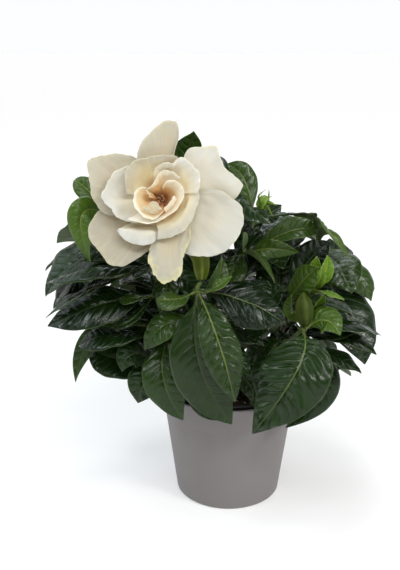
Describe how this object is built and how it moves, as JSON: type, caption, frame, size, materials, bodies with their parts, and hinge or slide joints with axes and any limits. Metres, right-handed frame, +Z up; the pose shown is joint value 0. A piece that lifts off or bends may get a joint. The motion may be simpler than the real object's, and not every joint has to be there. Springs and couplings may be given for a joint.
{
  "type": "potted gardenia",
  "caption": "Potted gardenia shrub with dark glossy ribbed leaves and an open creamy white double flower, in a round tapered grey cover pot",
  "frame": {"origin": "centre of the cover pot base, on the surface the pot stands on", "axes": "+Z up, -Y towards the front where the open flower faces, +X to the right seen from the front"},
  "size_m": [0.2842, 0.2361, 0.3137],
  "materials": {
    "pot": "matte",
    "nursery_pot": "satin",
    "soil": "rough",
    "stem": "rough",
    "leaf": "glossy",
    "young_leaf": "glossy",
    "petal": "satin",
    "inner_petal": "satin",
    "calyx": "satin",
    "tube": "satin",
    "bud": "satin"
  },
  "bodies": {
    "root": {"cover_pot": "pot", "nursery_pot": "nursery_pot", "potting_mix": "soil", "stems_front": "stem", "stems_right": "stem", "stems_back": "stem", "leaves_a1": "leaf", "leaves_a15": "leaf", "leaves_a2": "leaf", "leaves_a3": "leaf", "leaves_b1": "leaf", "leaves_b2": "leaf", "leaves_b3": "leaf", "leaves_b4": "leaf", "leaves_c1": "leaf", "leaves_c2": "leaf", "leaves_c3": "young_leaf", "leaves_g1": "leaf", "leaves_g2": "leaf", "leaves_g3": "young_leaf", "leaves_d1": "leaf", "leaves_d15": "leaf", "leaves_d2": "leaf", "leaves_d3": "leaf", "leaves_e1": "leaf", "leaves_e15": "leaf", "leaves_e2": "leaf", "leaves_e3": "leaf", "leaves_f1": "leaf", "leaves_f2": "leaf", "leaves_f3": "leaf", "leaves_h1": "leaf", "leaves_h2": "leaf", "leaves_h25": "leaf", "leaves_h3": "leaf", "leaves_k1": "leaf", "leaves_k2": "leaf", "leaves_k3": "leaf", "petal_outer_top": "petal", "petal_outer_upper_left": "petal", "petal_outer_lower_left": "petal", "petal_outer_bottom": "petal", "petal_outer_lower_right": "petal", "petal_outer_upper_right": "petal", "petal_mid_left": "petal", "petal_mid_top_left": "petal", "petal_mid_top_right": "petal", "petal_mid_right_wrap": "petal", "petal_mid_lower_lip": "petal", "petal_inner_spiral": "inner_petal", "petal_inner_left": "inner_petal", "petal_inner_tooth": "inner_petal", "petal_inner_upper": "inner_petal", "petal_inner_crinkle": "inner_petal", "petal_inner_fold": "inner_petal", "calyx": "calyx", "corolla_tube": "tube", "bud_right": "bud", "bud_sepals": "calyx"}
  },
  "joints": []
}
